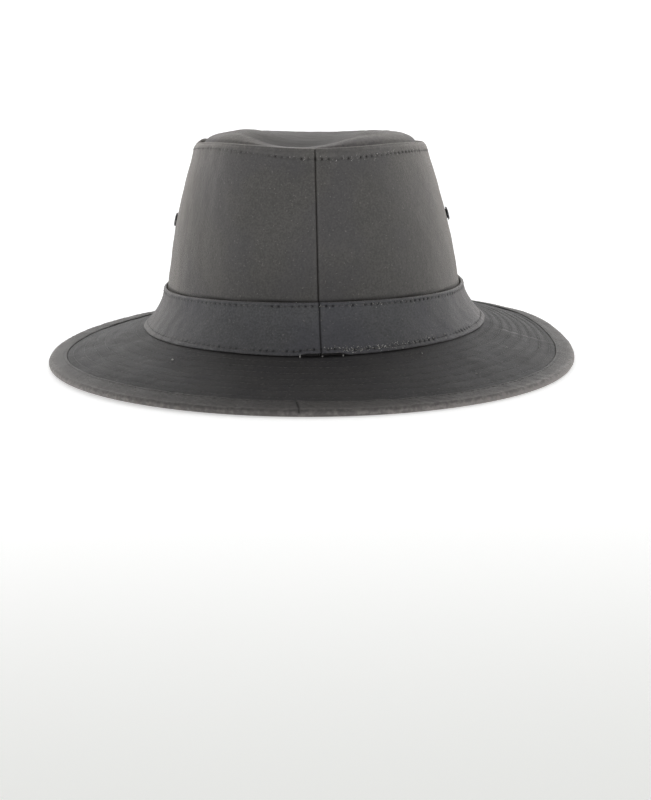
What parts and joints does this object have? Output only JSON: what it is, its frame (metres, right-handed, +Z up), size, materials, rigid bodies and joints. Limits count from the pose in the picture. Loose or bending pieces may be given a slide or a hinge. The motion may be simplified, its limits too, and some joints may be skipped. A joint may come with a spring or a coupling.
{
  "type": "oilskin hat",
  "caption": "Waxed cotton hat with a dented flat crown, a plain band of the same cloth, a bound sloping brim and a vent eyelet in each side of the crown.",
  "frame": {"origin": "on the floor under the middle of the hat, the centre of its bounding box's underside", "axes": "+Y towards the front of the hat, +X towards the wearer's right, +Z up through the crown"},
  "size_m": [0.2939, 0.3461, 0.1274],
  "materials": {
    "waxed_cotton_crown": "dark charcoal waxed cotton, dull sheen",
    "waxed_cotton_tip": "dark charcoal waxed cotton, dull sheen",
    "waxed_cotton_band": "cooler charcoal waxed cotton, dull sheen",
    "waxed_cotton_brim": "dark charcoal waxed cotton with rows of stitching",
    "binding_tape": "dark charcoal cloth binding, slightly worn",
    "eyelet_metal": "dark gunmetal, polished by wear"
  },
  "bodies": {
    "root": {"crown_side_left": "waxed_cotton_crown", "crown_side_right": "waxed_cotton_crown", "crown_tip": "waxed_cotton_tip", "hat_band": "waxed_cotton_band", "brim": "waxed_cotton_brim", "brim_binding": "binding_tape", "eyelet_left": "eyelet_metal", "eyelet_right": "eyelet_metal"}
  },
  "joints": []
}
